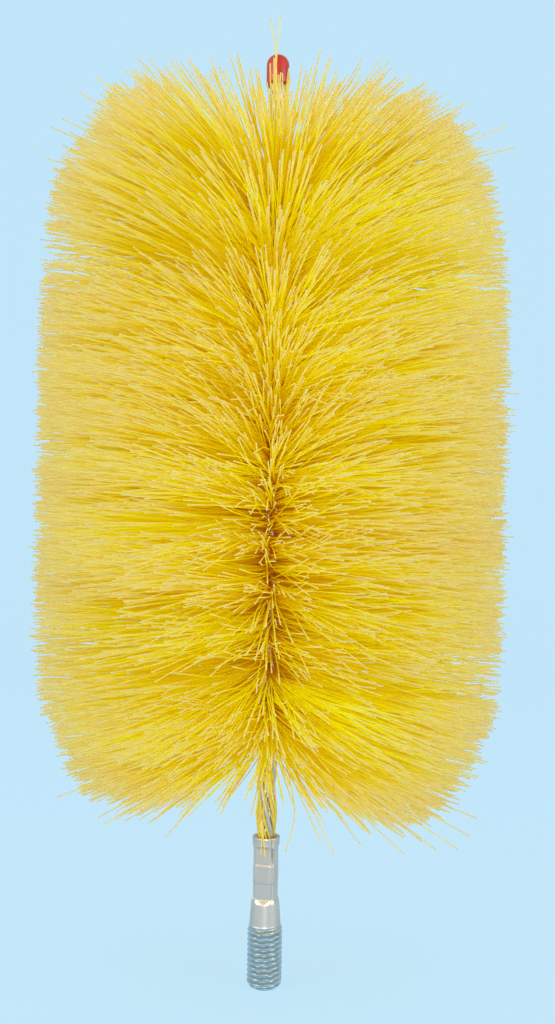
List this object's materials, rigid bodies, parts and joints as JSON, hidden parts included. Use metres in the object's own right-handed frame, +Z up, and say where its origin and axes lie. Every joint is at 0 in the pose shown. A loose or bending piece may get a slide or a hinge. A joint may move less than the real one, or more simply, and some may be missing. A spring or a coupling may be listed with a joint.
{
  "type": "chimney brush",
  "caption": "Twisted-wire chimney brush: yellow plastic bristles splayed round a twisted steel stem, a crimped threaded stud at one end for a rod, and a red cap on the tip",
  "frame": {"origin": "centre of the flat end face of the threaded stud", "axes": "+Z up the stem from the stud to the cap, +X to the right and +Y away in the pictured view"},
  "size_m": [0.1567, 0.1569, 0.3195],
  "materials": {
    "zinc_plated_steel": "bright zinc plating with a faint blue-green tint",
    "galvanised_wire": "drawn galvanised wire, dull grey",
    "yellow_filament": "satin translucent polypropylene",
    "red_cap": "soft glossy plastic"
  },
  "bodies": {
    "root": {"threaded_ferrule": "zinc_plated_steel", "stem_wire_1": "galvanised_wire", "stem_wire_2": "galvanised_wire", "stem_wire_3": "galvanised_wire", "stem_wire_4": "galvanised_wire", "bristles_bottom": "yellow_filament", "bristles_lower": "yellow_filament", "bristles_upper": "yellow_filament", "bristles_top": "yellow_filament", "end_cap": "red_cap"}
  },
  "joints": []
}
